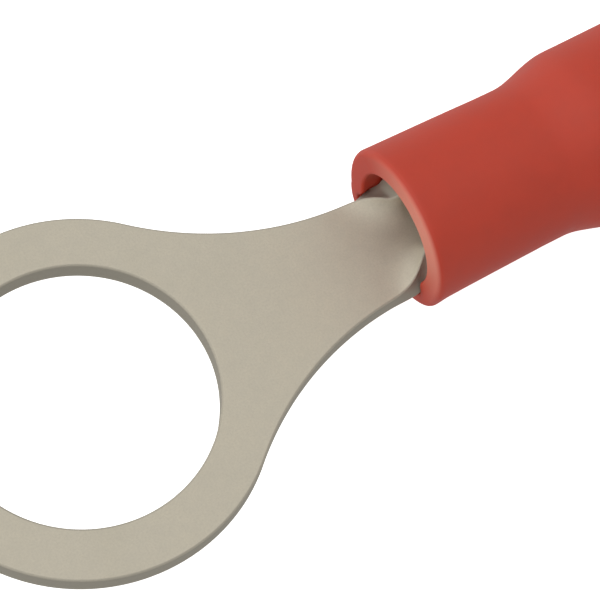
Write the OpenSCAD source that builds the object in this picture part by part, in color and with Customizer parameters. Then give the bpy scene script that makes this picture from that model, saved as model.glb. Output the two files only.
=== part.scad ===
// Insulated ring terminal: one stamped and rolled sheet-copper terminal and
// one vinyl sleeve pressed onto its wire barrel.
// Frame: the origin is the centre of the stud hole on the tongue's bottom
// face, +X runs along the barrel towards the wire entry, +Z is up.

/* [Tongue] */
// Diameter of the stud hole, clearance for an M8 stud
stud_hole_d = 8.4; // [8.3:0.05:8.5]
// Width of the ring
ring_w = 11.6; // [11.45:0.05:11.75]
// Thickness of the tinned copper sheet
sheet_t = 0.8; // [0.75:0.05:0.85]
// Width of the neck at its narrowest
neck_w = 3.46; // [3.4:0.02:3.5]
// Radius of the fillets between the ring and the neck
neck_fillet_r = 10.2; // [9.8:0.2:10.6]

/* [Wire barrel] */
// Diameter of the barrel's bore, for a 0.5 to 1.5 mm2 conductor
wire_bore_d = 1.7; // [1.65:0.05:1.75]
// Distance from the stud hole's centre to the point where the neck starts to curl
curl_start = 9.6; // [9.5:0.05:9.7]
// Distance from the stud hole's centre to the fully closed barrel
barrel_start = 12.4; // [12.3:0.05:12.5]
// Length of the closed barrel
barrel_l = 4.2; // [4:0.1:4.4]
// Chamfer at the barrel's wire end
barrel_chamfer = 0.15; // [0.1:0.05:0.2]
// Width of the brazed seam's groove along the top of the barrel
seam_w = 0.12; // [0.08:0.02:0.2]
// Depth of the brazed seam's groove
seam_depth = 0.1; // [0.06:0.02:0.16]

/* [Sleeve] */
// Distance from the stud hole's centre to the sleeve's mouth
sleeve_start = 10.85; // [10.8:0.05:10.9]
// Length of the sleeve
sleeve_l = 10.35; // [10.2:0.05:10.5]
// Outer diameter at the mouth
mouth_d = 5.24; // [5.16:0.02:5.3]
// Inner diameter at the mouth
mouth_bore_d = 3.64; // [3.6:0.02:3.7]
// Outer diameter at the waist, around the barrel
waist_d = 5.04; // [4.96:0.02:5.1]
// Outer diameter where the flare ends
flare_d = 5.88; // [5.8:0.02:5.9]
// Outer diameter at the wire entry
entry_d = 5.92; // [5.9:0.02:6]
// Bore for the wire's insulation
entry_bore_d = 4.2; // [4.1:0.02:4.3]
// Rounding of the mouth's outer edge
mouth_round = 0.22; // [0.15:0.01:0.25]
// Rounding of the wire entry's edges
entry_round = 0.2; // [0.1:0.01:0.25]

/* [Hidden] */
$fn = 96;

// --- terminal -------------------------------------------------------------
ring_r = ring_w / 2;
barrel_r = wire_bore_d / 2 + sheet_t;      // outside of the rolled barrel
axis_z = barrel_r;                         // barrel's bottom is flush with the tongue's
mid_r = wire_bore_d / 2 + sheet_t / 2;     // bend radius of the sheet's middle
barrel_end = barrel_start + barrel_l;

// fillet circles, sunk a hair into the ring so that the outlines cross
fillet_y = neck_w / 2 + neck_fillet_r;
fillet_x = sqrt(pow(ring_r + neck_fillet_r - 0.004, 2) - pow(fillet_y, 2));
fillet_top = ring_r * fillet_y / (ring_r + neck_fillet_r);

// half width of the flat neck at a distance x from the stud hole's centre
function neck_half(x) = fillet_y - sqrt(pow(neck_fillet_r, 2) - pow(x - fillet_x, 2));
function clamp01(u) = min(1, max(0, u));
function ease(u) = let(c = clamp01(u)) c * c * (3 - 2 * c);
function mix(a, b, u) = a + (b - a) * u;

// The neck turns into the barrel in one sweep: the sheet bends up from flat to
// the barrel's radius, and the blank widens until its edges meet at the top.
curl_end = barrel_start - 0.7;             // the sheet has the barrel's radius from here
shoulder = 11.35;                          // the blank starts to widen here
open_deg = 3;                              // half of the gap left at the closed end
steps_x = 22;                              // stations along the sweep
steps_a = 14;                              // segments across half of the sheet

function bend(x) = ease(pow(clamp01((x - curl_start) / (curl_end - curl_start)), 1.8)) / mid_r;
function blank_half(x) =
    mix(neck_half(min(x, fillet_x)), mid_r * PI * (180 - open_deg) / 180,
        ease((x - shoulder) / (barrel_start - shoulder)));
// sheet's half thickness, a hair thinner at the closed end, to sit inside the tube's end face
function half_t(x) = sheet_t / 2 - 0.01 * ease((x - shoulder) / (barrel_start - shoulder));

// point of the bent sheet: s along the sheet's middle, n above it
function sheet_pt(x, s, n) =
    let(k = bend(x),
        a = s * k * 180 / PI,
        y = k < 1e-6 ? s : sin(a) / k,
        z = sheet_t / 2 + (k < 1e-6 ? 0 : (1 - cos(a)) / k))
    [x, y - n * sin(a), z + n * cos(a)];

sweep_x = [for (i = [0:steps_x]) mix(curl_start, barrel_start, i / steps_x)];
sweep_pts = [for (x = sweep_x) for (side = [-1, 1]) for (j = [-steps_a:steps_a])
    sheet_pt(x, side * j / steps_a * blank_half(x), side * half_t(x))];
ring_n = 2 * (2 * steps_a + 1);            // points in one station
half_n = 2 * steps_a + 1;
sweep_faces = concat(
    [for (i = [0:steps_x - 1]) for (j = [0:ring_n - 1])
        let(a = i * ring_n + j, b = i * ring_n + (j + 1) % ring_n)
        each [[a, b, b + ring_n], [a, b + ring_n, a + ring_n]]],
    [for (e = [0, steps_x]) for (j = [0:half_n - 2])
        let(o = e * ring_n, a = o + j, b = o + j + 1, c = o + ring_n - 1 - j - 1, d = o + ring_n - 1 - j)
        each (e == 0 ? [[a, c, b], [a, d, c]] : [[a, b, c], [a, c, d]])]);

module tongue() {
    linear_extrude(sheet_t)
        difference() {
            union() {
                circle(ring_r);
                difference() {
                    translate([0, -fillet_top]) square([curl_start, 2 * fillet_top]);
                    for (s = [-1, 1]) translate([fillet_x, s * fillet_y]) circle(neck_fillet_r, $fn = 240);
                }
            }
            circle(stud_hole_d / 2);
        }
}

module closed_barrel() {
    difference() {
        translate([0, 0, axis_z]) rotate([0, 90, 0]) rotate_extrude()
            polygon([[wire_bore_d / 2, barrel_start], [barrel_r, barrel_start],
                     [barrel_r, barrel_end - barrel_chamfer / 2], [barrel_r - barrel_chamfer / 2, barrel_end],
                     [wire_bore_d / 2 + barrel_chamfer, barrel_end], [wire_bore_d / 2, barrel_end - barrel_chamfer]]);
        // groove of the brazed butt seam
        translate([barrel_start - 1, -seam_w / 2, axis_z + barrel_r - seam_depth])
            cube([barrel_l + 2, seam_w, 1]);
    }
}

module terminal() {
    color("#b7ae9b")
    union() {
        tongue();
        polyhedron(sweep_pts, sweep_faces, convexity = 6);
        closed_barrel();
    }
}

// --- sleeve ---------------------------------------------------------------
sleeve_end = sleeve_start + sleeve_l;
mouth_r = mouth_d / 2;
waist_r = waist_d / 2;
flare_r = flare_d / 2;
entry_r = entry_d / 2;
waist_start = 15.05;
flare_start = 15.77;
flare_end = 17.88;
grip_start = barrel_start;                 // the bore grips the barrel from here
funnel_start = barrel_end + 0.1;           // behind the barrel the bore widens
funnel_end = 18.2;

function arc(cx, cr, r, a0, a1, n) = [for (i = [0:n]) let(a = mix(a0, a1, i / n)) [cr + r * sin(a), cx + r * cos(a)]];
outer_profile = concat(
    arc(sleeve_start + mouth_round, mouth_r - mouth_round, mouth_round, 180, 90, 6),
    [[waist_r, waist_start]],
    [for (i = [0:10]) let(u = i / 10) [mix(waist_r, flare_r, ease(u)), mix(flare_start, flare_end, u)]],
    arc(sleeve_end - entry_round, entry_r - entry_round, entry_round, 90, 0, 5));
inner_profile = concat(
    arc(sleeve_end - entry_round, entry_bore_d / 2 + entry_round, entry_round, 360, 270, 5),
    [for (i = [8:-1:0]) let(u = i / 8) [mix(barrel_r, entry_bore_d / 2, ease(u)), mix(funnel_start, funnel_end, u)]],
    [for (i = [6:-1:0]) let(u = i / 6) [mix(mouth_bore_d / 2, barrel_r, ease(u)), mix(sleeve_start + 0.65, grip_start, u)]],
    arc(sleeve_start + 0.08, mouth_bore_d / 2 + 0.08, 0.08, 270, 180, 3));

module insulating_sleeve() {
    color("#bd4b3b")
    difference() {
        translate([0, 0, axis_z]) rotate([0, 90, 0]) rotate_extrude()
            polygon(concat(outer_profile, inner_profile));
        // the mouth is stretched where the neck's corners pass through it
        intersection() {
            translate([sleeve_start - 0.1, 0, axis_z]) rotate([0, 90, 0])
                cylinder(h = 0.75, r1 = 2.34, r2 = 1.79);
            translate([sleeve_start - 1, -3, axis_z - 3]) cube([3, 6, 2.55]);
        }
    }
}

terminal();
insulating_sleeve();
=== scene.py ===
import math

import bmesh
import bpy
import numpy as np
from mathutils import Matrix, Vector


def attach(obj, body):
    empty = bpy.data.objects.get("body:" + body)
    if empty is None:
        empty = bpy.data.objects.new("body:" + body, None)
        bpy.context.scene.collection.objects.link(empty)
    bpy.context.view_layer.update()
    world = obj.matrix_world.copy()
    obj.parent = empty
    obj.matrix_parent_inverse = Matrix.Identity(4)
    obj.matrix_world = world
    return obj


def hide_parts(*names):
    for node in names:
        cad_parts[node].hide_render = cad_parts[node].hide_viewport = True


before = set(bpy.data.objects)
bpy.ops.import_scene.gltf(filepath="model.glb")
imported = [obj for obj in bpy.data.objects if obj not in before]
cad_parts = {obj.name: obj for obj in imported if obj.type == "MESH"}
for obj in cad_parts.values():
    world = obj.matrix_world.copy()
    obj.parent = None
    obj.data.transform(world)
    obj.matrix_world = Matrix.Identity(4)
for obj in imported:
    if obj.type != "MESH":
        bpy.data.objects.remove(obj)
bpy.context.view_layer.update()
MM = 0.001
scene = bpy.context.scene

# ---------------------------------------------------------------- camera
# direction rows: right, down, forward
RIGHT = Vector((0.8553050, -0.5055760, 0.1133416))
DOWN = Vector((-0.4255697, -0.8102804, -0.4029095))
AHEAD = Vector((0.2955399, 0.2963757, -0.9081947))
cam_data = bpy.data.cameras.new("camera")
cam = bpy.data.objects.new("camera", cam_data)
scene.collection.objects.link(cam)
cam_data.sensor_width = 36.0
cam_data.lens = 2598.27 * 36.0 / 600.0
cam_data.clip_start, cam_data.clip_end = 0.005, 5.0
up, back = -DOWN, -AHEAD
cam.matrix_world = Matrix((
    (RIGHT.x, up.x, back.x, -16.044 * MM),
    (RIGHT.y, up.y, back.y, -23.889 * MM),
    (RIGHT.z, up.z, back.z, 72.735 * MM),
    (0, 0, 0, 1)))
scene.camera = cam

# ---------------------------------------------------------------- shared numbers, millimetres
T = 0.8                     # sheet
RING_R = 5.80
HOLE_R = 4.2
NECK_W = 3.46
FIL_R = 10.2
FIL_Y = NECK_W / 2 + FIL_R
FIL_X = math.sqrt((RING_R + FIL_R) ** 2 - FIL_Y ** 2)
AXIS_Z = 1.65
MID_R = 1.25
BARREL_R = 1.65
CURL0, CURL1 = 9.6, 11.7
SHOULDER, CLOSED = 11.35, 12.4
BARREL_END = 16.6
MOUTH = 10.85


def clamp01(u):
    return min(1.0, max(0.0, u))


def ease(u):
    c = clamp01(u)
    return c * c * (3 - 2 * c)


def mix(a, b, u):
    return a + (b - a) * u


def neck_half(x):
    return FIL_Y - math.sqrt(FIL_R ** 2 - (x - FIL_X) ** 2)


def bend(x):
    return ease(clamp01((x - CURL0) / (CURL1 - CURL0)) ** 1.8) / MID_R


def blank_half(x):
    gap = mix(3.0, 0.7, ease((x - CLOSED) / 0.6))
    return mix(neck_half(min(x, FIL_X)), MID_R * math.pi * (180 - gap) / 180, ease((x - SHOULDER) / (CLOSED - SHOULDER)))


def sheet_pt(x, s, n):
    """Point of the bent sheet: s along the sheet's middle, n above it."""
    k = bend(x)
    a = s * k
    y = s if k < 1e-6 else math.sin(a) / k
    z = T / 2 + (0 if k < 1e-6 else (1 - math.cos(a)) / k)
    return (x, y - n * math.sin(a), z + n * math.cos(a))


# ---------------------------------------------------------------- terminal mesh
R_TOP, R_BOT = 0.07, 0.05   # rounding of the stamped edges, roll-over side and burr side
ARC = 5


def edge_profile():
    """(distance in from the edge, height, wall coordinate) from the top face round to the bottom face."""
    pts = []
    for i in range(ARC + 1):
        a = math.pi / 2 * i / ARC
        pts.append((R_TOP * (1 - math.sin(a)), T - R_TOP * (1 - math.cos(a))))
    for u in (0.25, 0.5, 0.75):
        pts.append((0.0, mix(T - R_TOP, R_BOT, u)))
    for i in range(ARC + 1):
        a = math.pi / 2 * (1 - i / ARC)
        pts.append((R_BOT * (1 - math.sin(a)), R_BOT * (1 - math.cos(a))))
    return pts


PROFILE = edge_profile()


class Builder:
    def __init__(self):
        self.v, self.f, self.wall = [], [], []

    def grid(self, rows, close=False, wall=None):
        """rows of equal length; faces between neighbouring rows."""
        base = len(self.v)
        n = len(rows[0])
        for i, row in enumerate(rows):
            for j, p in enumerate(row):
                self.v.append(p)
                self.wall.append(0.0 if wall is None else wall[i][j])
        for i in range(len(rows) - 1):
            for j in range(n if close else n - 1):
                a = base + i * n + j
                b = base + i * n + (j + 1) % n
                self.f.append((a, b, b + n, a + n))
        return base

    def mesh(self, name, weld=2e-4):
        me = bpy.data.meshes.new(name)
        me.from_pydata([tuple(c * MM for c in p) for p in self.v], [], self.f)
        # wall: mask for the painted shade on the metal's edges, and for the painted highlight on the sleeve's
        # mouth
        at = me.attributes.new("wall", "FLOAT", "POINT")
        at.data.foreach_set("value", np.array(self.wall, np.float32))
        bm = bmesh.new()
        bm.from_mesh(me)
        bmesh.ops.remove_doubles(bm, verts=bm.verts, dist=weld * MM)
        bmesh.ops.dissolve_degenerate(bm, edges=bm.edges, dist=1e-5 * MM)
        bmesh.ops.recalc_face_normals(bm, faces=bm.faces)
        bad = [e for e in bm.edges if len(e.link_faces) != 2]
        print(name, "verts", len(bm.verts), "faces", len(bm.faces), "open or bad edges", len(bad))
        bm.to_mesh(me)
        bm.free()
        for p in me.polygons:
            p.use_smooth = True
        me.update()
        return me


def terminal_mesh():
    b = Builder()
    n_s = 36                                 # samples across half the end line
    w0 = neck_half(CURL0)
    corner = w0 - R_TOP
    # outline columns, anticlockwise from the upper corner of the end line: (point, outward normal)
    cols = []
    beta_end = math.acos((CURL0 - FIL_X) / FIL_R)          # in the second quadrant, seen from the fillet's centre
    beta_tan = math.atan2(FIL_Y, FIL_X)
    nf = 56
    for i in range(nf + 1):                  # upper fillet, from the end line to the ring
        u = i / nf
        be = mix(math.pi * 2 - beta_end, math.pi + beta_tan, u)
        p = (FIL_X + FIL_R * math.cos(be), FIL_Y + FIL_R * math.sin(be))
        n = (-math.cos(be), -math.sin(be))
        k = ease(clamp01(u / 0.25))
        n = (n[0] * k, n[1] * k + (1 - k))
        l = math.hypot(*n)
        cols.append((p, (n[0] / l, n[1] / l)))
    nr = 300
    for i in range(1, nr):
        a = mix(beta_tan, 2 * math.pi - beta_tan, i / nr)
        cols.append(((RING_R * math.cos(a), RING_R * math.sin(a)), (math.cos(a), math.sin(a))))
    upper = cols[: nf + 1]
    for p, n in reversed(upper):
        cols.append(((p[0], -p[1]), (n[0], -n[1])))
    end_y = [mix(-1, 1, (i + 1) / (2 * n_s)) for i in range(2 * n_s - 1)]   # between the corners, from -y to +y

    rows_u = [0.0, 0.012, 0.05] + [mix(0.05, 0.95, i / 12) for i in range(1, 12)] + [0.95, 0.988, 1.0]

    def face_rows(side):
        r_e = R_TOP if side > 0 else R_BOT
        z = T if side > 0 else 0.0
        targets = [(p[0] - r_e * n[0], p[1] - r_e * n[1]) for p, n in cols]
        c = w0 - r_e
        targets += [(CURL0, c * y) for y in end_y]
        targets = targets + targets[:1]
        rows = []
        for u in rows_u:
            row = []
            for t in targets:
                a = math.atan2(t[1], t[0])
                h = ((HOLE_R + r_e) * math.cos(a), (HOLE_R + r_e) * math.sin(a))
                row.append((mix(h[0], t[0], u), mix(h[1], t[1], u), z))
            rows.append(row)
        return rows

    top, bottom = face_rows(1), face_rows(-1)
    b.grid(top)
    b.grid(bottom)
    # hole wall: same columns, profile towards the hole
    n_cols = len(top[0])
    wall_rows, wall_w = [], []
    for d, z in PROFILE:
        row = []
        for j in range(n_cols):
            # angle slides from the top face's to the bottom face's
            u = clamp01((T - z) / T)
            pt, pb = top[0][j], bottom[0][j]
            at, ab = math.atan2(pt[1], pt[0]), math.atan2(pb[1], pb[0])
            if ab - at > math.pi:
                ab -= 2 * math.pi
            if at - ab > math.pi:
                ab += 2 * math.pi
            a = mix(at, ab, u)
            row.append(((HOLE_R + d) * math.cos(a), (HOLE_R + d) * math.sin(a), z))
        wall_rows.append(row)
        # mask for painted shade: 1 on the upright edge wall, 0.5 on its roundings
        wall_w.append([1.0 if d < 1e-9 else 0.5] * n_cols)
    wall_w[0] = [0.0] * n_cols
    wall_w[-1] = [0.0] * n_cols
    b.grid(wall_rows, wall=wall_w)
    # outer wall
    wall_rows, wall_w = [], []
    for i, (d, z) in enumerate(PROFILE):
        wall_rows.append([(p[0] - d * n[0], p[1] - d * n[1], z) for p, n in cols])
        # mask for painted shade: 1 on the upright edge wall, 0.5 on its roundings
        wall_w.append([0.0 if i in (0, len(PROFILE) - 1) else (1.0 if d < 1e-9 else 0.5)] * len(cols))
    b.grid(wall_rows, wall=wall_w)

    # neck and barrel: closed loops across the bent sheet
    def loop(x, inset=0.0):
        s_half = blank_half(x) - inset
        t_in = inset
        # w: mask for painted shade on the edge walls of the bent sheet
        pts, w = [], []
        c = s_half - max(R_TOP - inset, 0.0)
        for i in range(2 * n_s + 1):
            pts.append(sheet_pt(x, c * mix(-1, 1, i / (2 * n_s)), T / 2 - t_in)); w.append(0.0)
        for i, (d, z) in enumerate(PROFILE[1:-1]):
            d2 = max(d - inset, 0.0)
            n = max(min(z - T / 2, T / 2 - t_in), -T / 2 + t_in)
            pts.append(sheet_pt(x, s_half - d2, n)); w.append(1.0 if d < 1e-9 else 0.5)
        cb = s_half - max(R_BOT - inset, 0.0)
        for i in range(2 * n_s + 1):
            pts.append(sheet_pt(x, cb * mix(1, -1, i / (2 * n_s)), -T / 2 + t_in)); w.append(0.0)
        for i, (d, z) in enumerate(reversed(PROFILE[1:-1])):
            d2 = max(d - inset, 0.0)
            n = max(min(z - T / 2, T / 2 - t_in), -T / 2 + t_in)
            pts.append(sheet_pt(x, -(s_half - d2), n)); w.append(1.0 if d < 1e-9 else 0.5)
        return pts, w

    xs = [mix(CURL0, CLOSED, i / 60) for i in range(61)] + [mix(CLOSED, BARREL_END - 0.12, i / 24) for i in range(1, 25)]
    loops, ws = [], []
    for x in xs:
        p, w = loop(x)
        loops.append(p); ws.append(w)
    for i in range(1, 6):
        a = math.pi / 2 * i / 5
        p, w = loop(BARREL_END - 0.12 + 0.12 * math.sin(a), 0.12 * (1 - math.cos(a)))
        # the bend depends on x only through the closed barrel, where it is constant
        loops.append(p); ws.append(w)
    b.grid(loops, close=True, wall=ws)
    # end face of the barrel
    last = loops[-1]
    base = len(b.v)
    for p in last:
        b.v.append(p); b.wall.append(0.0)
    m = 2 * n_s + 1
    e = len(PROFILE) - 2
    for i in range(m - 1):
        # top sample i sits against bottom sample m-1-i
        ta, tb = base + i, base + i + 1
        ba, bb = base + m + e + (m - 1 - i), base + m + e + (m - 2 - i)
        b.f.append((ta, tb, bb, ba))
    b.f.append(tuple([base + m - 1] + [base + m + i for i in range(e)] + [base + m + e]))
    b.f.append(tuple([base + m + e + m - 1] + [base + 2 * m + e + i for i in range(e)] + [base]))
    return b


terminal_me = terminal_mesh().mesh("terminal_metal")
terminal = bpy.data.objects.new("terminal_metal", terminal_me)
scene.collection.objects.link(terminal)

# ---------------------------------------------------------------- sleeve mesh
S0, S1 = 10.85, 21.2
MOUTH_R, MOUTH_IN = 2.62, 1.82
WAIST_R, FLARE_R, ENTRY_R = 2.52, 2.94, 2.95
WAIST0, WAIST1, FLARE1 = 15.05, 15.77, 17.88
ENTRY_IN = 2.1
ROUND0, ROUND1 = 0.22, 0.2


def outer_r(x):
    if x < WAIST0:
        return mix(MOUTH_R, WAIST_R, clamp01((x - S0 - ROUND0) / (WAIST0 - S0 - ROUND0)) ** 0.9)
    if x < WAIST1:
        return WAIST_R
    if x < FLARE1:
        return mix(WAIST_R, FLARE_R, ease((x - WAIST1) / (FLARE1 - WAIST1)))
    return mix(FLARE_R, ENTRY_R, (x - FLARE1) / (S1 - ROUND1 - FLARE1))


def inner_r(x):
    if x < 11.5:
        return MOUTH_IN
    if x < CLOSED:
        return mix(MOUTH_IN, BARREL_R, ease((x - 11.5) / (CLOSED - 11.5)))
    if x < BARREL_END + 0.1:
        return BARREL_R
    return mix(BARREL_R, ENTRY_IN, ease((x - BARREL_END - 0.1) / 1.5))


def metal_reach():
    """Largest distance of the metal from the barrel's axis, by station and angle from the top."""
    xs = np.linspace(S0 - 0.2, CLOSED + 0.1, 31)
    n = 180
    out = np.zeros((len(xs), n))
    for i, x in enumerate(xs):
        half = blank_half(x)
        for s in np.linspace(-half, half, 241):
            for nn in (-T / 2, -T / 4, 0, T / 4, T / 2):
                _, y, z = sheet_pt(x, s, nn)
                r = math.hypot(y, z - AXIS_Z)
                a = int(round((math.degrees(math.atan2(y, z - AXIS_Z)) % 360) / 360 * n)) % n
                out[i, a] = max(out[i, a], r)
    # fill and soften round the circle
    soft = out.copy()
    for d in range(-5, 6):
        soft = np.maximum(soft, np.roll(out, d, 1) - 0.012 * d * d)
    return xs, soft


REACH_X, REACH = metal_reach()


def reach(x, a):
    if x > REACH_X[-1]:
        return 0.0
    fx = (max(x, REACH_X[0]) - REACH_X[0]) / (REACH_X[1] - REACH_X[0])
    i = min(int(fx), len(REACH_X) - 2)
    u = fx - i
    n = REACH.shape[1]
    fa = (math.degrees(a) % 360) / 360 * n
    j = int(fa) % n
    v = fa - int(fa)
    row = lambda k: mix(REACH[k, j], REACH[k, (j + 1) % n], v)
    return mix(row(i), row(i + 1), u)


def smooth_max(a, b, k=0.05):
    h = clamp01(0.5 + 0.5 * (a - b) / k)
    return mix(b, a, h) + k * h * (1 - h)


def sleeve_mesh():
    b = Builder()
    prof = []                                # (x, r, inner?)
    for i in range(9):                       # rounded outer edge of the mouth
        a = math.pi / 2 * i / 8
        prof.append((S0 + ROUND0 * (1 - math.sin(a)), MOUTH_R - ROUND0 * (1 - math.cos(a)) , 0))
    prof = [(x, r, k) for x, r, k in prof][::-1]
    prof = []
    for i in range(9):
        a = math.pi / 2 * i / 8
        prof.append((S0 + ROUND0 * (1 - math.cos(a)), MOUTH_R - ROUND0 * (1 - math.sin(a)), 0))
    for i in range(1, 91):
        x = mix(S0 + ROUND0, S1 - ROUND1, i / 90)
        prof.append((x, outer_r(x), 0))
    for i in range(1, 8):
        a = math.pi / 2 * i / 7
        prof.append((S1 - ROUND1 * (1 - math.sin(a)), ENTRY_R - ROUND1 * (1 - math.cos(a)), 0))
    prof.append((S1, mix(ENTRY_R - ROUND1, ENTRY_IN + ROUND1, 0.5), 0))
    for i in range(8):
        a = math.pi / 2 * i / 7
        prof.append((S1 - ROUND1 * (1 - math.cos(a)), ENTRY_IN + ROUND1 * (1 - math.sin(a)), 1))
    for i in range(1, 80):
        x = mix(S1 - ROUND1, S0 + 0.1, i / 80)
        prof.append((x, inner_r(x), 1))
    for i in range(7):
        a = math.pi / 2 * i / 6
        prof.append((S0 + 0.1 * (1 - math.sin(a)), MOUTH_IN + 0.1 * (1 - math.cos(a)), 1))
    prof.append((S0, mix(MOUTH_IN + 0.1, MOUTH_R - ROUND0, 0.5), 2))
    n = 192
    rows = []
    for x, r, kind in prof:
        row = []
        for j in range(n):
            a = 2 * math.pi * j / n          # from the top towards +Y
            rr = r
            need = reach(x, a) + 0.015
            if kind == 1 and x < CLOSED + 0.15:
                rr = smooth_max(r, need)
            if kind == 0 and x < S0 + 2.0:
                # the vinyl bulges a little over the neck's corners
                rr += 0.2 * max(0.0, need - MOUTH_IN) * (1 - ease((x - S0) / 1.6))
            if kind == 2:
                rr = max(r, (smooth_max(MOUTH_IN, need) + MOUTH_R - ROUND0) / 2)
            if kind == 0:
                rr += 0.006 * math.sin(3 * a + 1.1 + x * 0.7) + 0.005 * math.sin(2 * a - 0.6 - x * 0.9) if x < S1 - 0.5 else 0.0
            row.append((x, rr * math.sin(a), AXIS_Z + rr * math.cos(a)))
        rows.append(row)
    rows.append(rows[0])
    # mask for the painted highlight: the flat end face of the mouth, strongest round 330 degrees from the top
    painted_highlight = []
    for x, r, kind in prof:
        flat = clamp01(1 - (x - S0) / 0.09) if r > MOUTH_IN - 0.05 else 0.0
        painted_highlight.append([flat * clamp01(math.cos(2 * math.pi * j / n - math.radians(330))) ** 1.5 for j in range(n)])
    painted_highlight.append(painted_highlight[0])
    b.grid(rows, close=True, wall=painted_highlight)
    return b


sleeve_me = sleeve_mesh().mesh("sleeve_vinyl")
sleeve = bpy.data.objects.new("sleeve_vinyl", sleeve_me)
scene.collection.objects.link(sleeve)


# ---------------------------------------------------------------- materials
class Nodes:
    def __init__(self, name):
        self.m = bpy.data.materials.new(name)
        self.m.use_nodes = True
        self.t = self.m.node_tree
        self.t.nodes.clear()
        self.out = self.t.nodes.new("ShaderNodeOutputMaterial")
        self.bsdf = self.t.nodes.new("ShaderNodeBsdfPrincipled")
        self.t.links.new(self.bsdf.outputs[0], self.out.inputs[0])

    def n(self, kind, **kw):
        node = self.t.nodes.new(kind)
        for k, v in kw.items():
            if k in node.inputs:
                node.inputs[k].default_value = v
            else:
                setattr(node, k, v)
        return node

    def link(self, a, b):
        self.t.links.new(a, b)

    def coords(self, scale=(1, 1, 1)):
        tc = self.n("ShaderNodeTexCoord")
        mp = self.n("ShaderNodeMapping")
        mp.inputs["Scale"].default_value = scale
        self.link(tc.outputs["Object"], mp.inputs["Vector"])
        return mp.outputs["Vector"]

    def noise(self, vec, scale, detail=4.0, rough=0.5, dist=0.0):
        no = self.n("ShaderNodeTexNoise")
        no.inputs["Scale"].default_value = scale
        no.inputs["Detail"].default_value = detail
        no.inputs["Roughness"].default_value = rough
        no.inputs["Distortion"].default_value = dist
        self.link(vec, no.inputs["Vector"])
        return no.outputs["Fac"]

    def ramp(self, fac, stops):
        r = self.n("ShaderNodeValToRGB")
        cr = r.color_ramp
        while len(cr.elements) < len(stops):
            cr.elements.new(0.5)
        for e, (p, c) in zip(cr.elements, stops):
            e.position = p
            e.color = (*c, 1) if len(c) == 3 else c
        self.link(fac, r.inputs["Fac"])
        return r.outputs["Color"]

    def math(self, op, a, b=None, c=None):
        m = self.n("ShaderNodeMath", operation=op)
        for i, v in enumerate((a, b, c)):
            if v is None:
                continue
            if isinstance(v, (int, float)):
                m.inputs[i].default_value = v
            else:
                self.link(v, m.inputs[i])
        return m.outputs[0]

    def mixcol(self, fac, a, b, blend="MIX"):
        m = self.n("ShaderNodeMix", data_type="RGBA", blend_type=blend)
        if isinstance(fac, (int, float)):
            m.inputs[0].default_value = fac
        else:
            self.link(fac, m.inputs[0])
        for sock, v in ((m.inputs[6], a), (m.inputs[7], b)):
            if isinstance(v, tuple):
                sock.default_value = (*v, 1) if len(v) == 3 else v
            else:
                self.link(v, sock)
        return m.outputs[2]


TIN = (0.648, 0.604, 0.503)
VINYL = (0.51, 0.042, 0.016)


def shade(colour, f, tint=(1, 1, 1)):
    return tuple(c * f * t for c, t in zip(colour, tint))


def tin_material():
    k = Nodes("tinned_copper")
    v = k.coords()
    vl = k.coords((1, 6, 6))
    big = k.noise(v, 420, 3, 0.55)             # patches of 1 to 3 mm
    mid = k.noise(v, 2600, 4, 0.6)             # 0.2 to 0.5 mm mottle
    fine = k.noise(v, 15000, 3, 0.6)           # grain
    rolled = k.noise(vl, 1500, 3, 0.5)         # faint lines along the strip
    base = k.ramp(big, [(0.32, shade(TIN, 0.965, (1.0, 1.0, 0.985))), (0.5, TIN), (0.68, shade(TIN, 1.03, (1.0, 0.995, 0.98)))])
    base = k.mixcol(0.5, base, k.ramp(mid, [(0.3, shade(TIN, 0.93)), (0.7, shade(TIN, 1.07))]))
    base = k.mixcol(k.math("MULTIPLY", k.math("SUBTRACT", fine, 0.4), 0.9), base, shade(TIN, 0.82))
    # painted shade: the edge walls and their roundings darkened towards 60 % of the tin colour
    wall = k.n("ShaderNodeAttribute", attribute_name="wall")
    base = k.mixcol(k.math("MULTIPLY", wall.outputs["Fac"], 0.85), base, shade(TIN, 0.60))
    k.link(base, k.bsdf.inputs["Base Color"])
    k.bsdf.inputs["Metallic"].default_value = 0.88
    rough = k.math("MULTIPLY_ADD", mid, 0.12, 0.61)
    rough = k.math("MULTIPLY_ADD", fine, 0.08, rough)
    k.link(rough, k.bsdf.inputs["Roughness"])
    h = k.math("MULTIPLY_ADD", fine, 0.5, k.math("MULTIPLY_ADD", mid, 1.0, k.math("MULTIPLY", rolled, 0.6)))
    bump = k.n("ShaderNodeBump")
    bump.inputs["Strength"].default_value = 0.3
    bump.inputs["Distance"].default_value = 0.02 * MM
    k.link(h, bump.inputs["Height"])
    k.link(bump.outputs[0], k.bsdf.inputs["Normal"])
    return k.m


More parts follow.
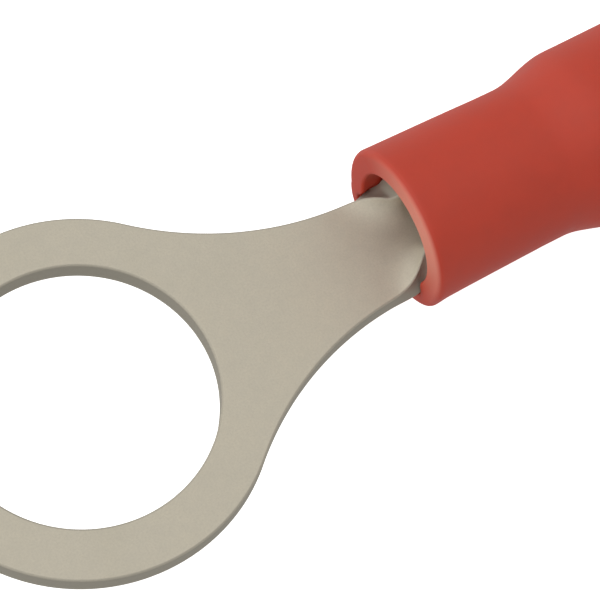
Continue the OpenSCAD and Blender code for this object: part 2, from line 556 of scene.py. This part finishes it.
def vinyl_material():
    k = Nodes("red_vinyl")
    v = k.coords()
    big = k.noise(v, 260, 2, 0.5)
    mid = k.noise(v, 1600, 3, 0.55)
    fine = k.noise(v, 9000, 3, 0.6)
    base = k.ramp(big, [(0.3, shade(VINYL, 0.96)), (0.7, shade(VINYL, 1.04))])
    base = k.mixcol(0.4, base, k.ramp(mid, [(0.3, shade(VINYL, 0.93)), (0.7, shade(VINYL, 1.07))]))
    painted_highlight = k.n("ShaderNodeAttribute", attribute_name="wall")     # painted highlight on the end face of the mouth, strongest on one side
    base = k.mixcol(k.math("MULTIPLY", painted_highlight.outputs["Fac"], 0.8), base, (0.80, 0.30, 0.22))
    k.link(base, k.bsdf.inputs["Base Color"])
    rough = k.math("MULTIPLY_ADD", mid, 0.12, 0.50)
    k.link(rough, k.bsdf.inputs["Roughness"])
    k.bsdf.inputs["IOR"].default_value = 1.5
    k.bsdf.inputs["Subsurface Weight"].default_value = 0.12
    k.bsdf.inputs["Subsurface Radius"].default_value = (1.0, 0.2, 0.1)
    k.bsdf.inputs["Subsurface Scale"].default_value = 0.35 * MM
    h = k.math("MULTIPLY_ADD", fine, 0.3, mid)
    bump = k.n("ShaderNodeBump")
    bump.inputs["Strength"].default_value = 0.2
    bump.inputs["Distance"].default_value = 0.02 * MM
    k.link(h, bump.inputs["Height"])
    k.link(bump.outputs[0], k.bsdf.inputs["Normal"])
    return k.m


terminal.data.materials.append(tin_material())
sleeve.data.materials.append(vinyl_material())
for piece, node, slot in ((terminal, "terminal", "tinned_copper"), (sleeve, "insulating_sleeve", "red_vinyl")):
    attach(piece, "root")
    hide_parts(node)

# ---------------------------------------------------------------- floor, backdrop and light
def stage_piece(name, verts, faces, emit):
    me = bpy.data.meshes.new(name)
    me.from_pydata(verts, [], faces)
    ob = bpy.data.objects.new(name, me)
    scene.collection.objects.link(ob)
    m = Nodes(name + "_white")
    m.bsdf.inputs["Base Color"].default_value = (0.9, 0.9, 0.9, 1)
    m.bsdf.inputs["Roughness"].default_value = 0.9
    m.bsdf.inputs["Specular IOR Level"].default_value = 0.0
    m.bsdf.inputs["Emission Color"].default_value = (1, 1, 1, 1)
    m.bsdf.inputs["Emission Strength"].default_value = emit
    me.materials.append(m.m)
    # the object is lit by the studio, not by the white sweep under it
    ob.visible_diffuse = False
    ob.visible_glossy = False
    ob.visible_transmission = False
    ob.visible_shadow = False
    return ob


FLOOR_Z = (AXIS_Z - ENTRY_R) * MM - 1e-5
half = 0.5
stage_piece("floor", [(sx * half, sy * half, FLOOR_Z) for sx, sy in ((-1, -1), (1, -1), (1, 1), (-1, 1))], [(0, 1, 2, 3)], 0.9)
rings, seg, rad = 12, 48, 0.55
bv = [(rad * math.cos(math.pi * (i / rings - 0.5)) * math.cos(2 * math.pi * j / seg),
       rad * math.cos(math.pi * (i / rings - 0.5)) * math.sin(2 * math.pi * j / seg),
       rad * math.sin(math.pi * (i / rings - 0.5))) for i in range(rings + 1) for j in range(seg)]
bf = [(i * seg + j, i * seg + (j + 1) % seg, (i + 1) * seg + (j + 1) % seg, (i + 1) * seg + j) for i in range(rings) for j in range(seg)]
stage_piece("backdrop", bv, bf, 1.0)

# studio: a white tent, drawn in the world as wide soft panels: (azimuth, elevation, strength)
PANELS = [
    (0, 90, 0.53),
    (0, 48, 0.27), (60, 48, 0.19), (120, 48, 0.68), (180, 48, 0.75), (240, 48, 0.32), (300, 48, 0.15),
    (0, 12, 0.43), (60, 12, 0.22), (120, 12, 0.60), (180, 12, 0.63), (240, 12, 0.13), (300, 12, 0.38),
    (0, -25, 0.66), (90, -25, 0.85), (180, -25, 0.60), (270, -25, 0.64),
    (0, -90, 0.74),
]
world = bpy.data.worlds.new("studio")
world.use_nodes = True
scene.world = world
wt = world.node_tree
bg = wt.nodes["Background"]
tc = wt.nodes.new("ShaderNodeTexCoord")
total = None
for az, el, strength in PANELS:
    ca, ce = math.radians(az), math.radians(el)
    dot = wt.nodes.new("ShaderNodeVectorMath")
    dot.operation = "DOT_PRODUCT"
    dot.inputs[1].default_value = (math.cos(ce) * math.cos(ca), math.cos(ce) * math.sin(ca), math.sin(ce))
    wt.links.new(tc.outputs["Generated"], dot.inputs[0])
    front = wt.nodes.new("ShaderNodeMath")
    front.operation = "MAXIMUM"
    front.inputs[1].default_value = 0.0
    wt.links.new(dot.outputs["Value"], front.inputs[0])
    lobe = wt.nodes.new("ShaderNodeMath")
    lobe.operation = "POWER"
    lobe.inputs[1].default_value = 5.0
    wt.links.new(front.outputs[0], lobe.inputs[0])
    add = wt.nodes.new("ShaderNodeMath")
    add.operation = "MULTIPLY_ADD"
    add.inputs[1].default_value = strength
    wt.links.new(lobe.outputs[0], add.inputs[0])
    if total is None:
        add.inputs[2].default_value = 0.0
    else:
        wt.links.new(total, add.inputs[2])
    total = add.outputs[0]
wt.links.new(total, bg.inputs[1])
bg.inputs[0].default_value = (1, 1, 1, 1)

scene.view_settings.view_transform = "Standard"
scene.view_settings.look = "None"
